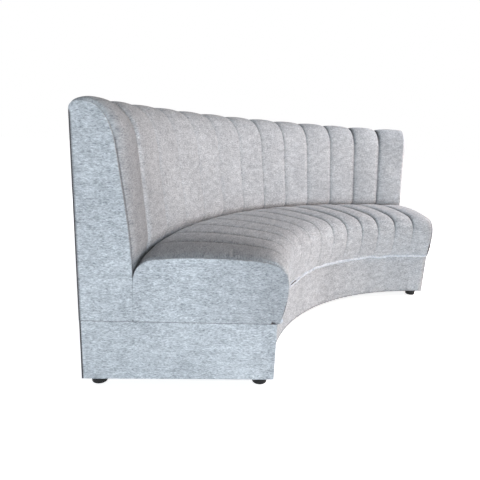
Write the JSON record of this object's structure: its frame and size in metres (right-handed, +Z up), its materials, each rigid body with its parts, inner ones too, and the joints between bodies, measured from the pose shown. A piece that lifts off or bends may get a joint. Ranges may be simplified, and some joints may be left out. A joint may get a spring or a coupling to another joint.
{
  "type": "upholstered banquette bench",
  "caption": "Quarter-circle restaurant booth bench: padded seat and back sewn in channels, fabric end panels, fabric-covered plinth on low round feet.",
  "frame": {"origin": "on the floor under the middle of the bench's bounding box", "axes": "+Z up; the open sitting side faces -Y; +X from the left end to the right end as seen by someone who faces the bench; symmetric left to right"},
  "size_m": [2.2302, 0.93, 0.9158],
  "materials": {
    "upholstery": "matte",
    "plywood": "matte",
    "foam": "matte",
    "dust_cloth": "matte",
    "foot_plastic": "satin",
    "zinc_steel": "satin"
  },
  "bodies": {
    "root": {"foot_front_left": "foot_plastic", "foot_front_centre": "foot_plastic", "foot_front_right": "foot_plastic", "foot_back_left": "foot_plastic", "foot_back_centre": "foot_plastic", "foot_back_right": "foot_plastic", "foot_studs": "zinc_steel", "foot_tee_nuts": "zinc_steel", "dust_cover": "dust_cloth", "plinth_bottom_plate": "plywood", "plinth_front_board": "plywood", "plinth_back_board": "plywood", "plinth_end_board_left": "plywood", "plinth_end_board_right": "plywood", "plinth_rib_left": "plywood", "plinth_rib_centre": "plywood", "plinth_rib_right": "plywood", "plinth_top_plate": "plywood", "plinth_front_cover": "upholstery", "plinth_back_cover": "upholstery", "plinth_end_cover_left": "upholstery", "plinth_end_cover_right": "upholstery", "seat_base_panel": "plywood", "seat_front_rail": "plywood", "seat_back_rail": "plywood", "seat_end_rib_left": "plywood", "seat_rib_left": "plywood", "seat_rib_centre": "plywood", "seat_rib_right": "plywood", "seat_end_rib_right": "plywood", "seat_deck": "plywood", "seat_foam": "foam", "seat_channelled_cover": "upholstery", "seat_end_panel_left": "upholstery", "seat_end_panel_right": "upholstery", "back_base_plate": "plywood", "back_lower_rail": "plywood", "back_end_rib_left": "plywood", "back_rib_left": "plywood", "back_rib_centre": "plywood", "back_rib_right": "plywood", "back_end_rib_right": "plywood", "back_top_rail": "plywood", "back_inner_skin": "plywood", "back_outer_skin": "plywood", "back_foam": "foam", "back_channelled_cover": "upholstery", "outside_back_cover": "upholstery", "back_end_panel_left": "upholstery", "back_end_panel_right": "upholstery", "base_bolts": "zinc_steel", "base_tee_nuts": "zinc_steel", "back_bolts": "zinc_steel", "back_bolt_nuts": "zinc_steel"}
  },
  "joints": []
}
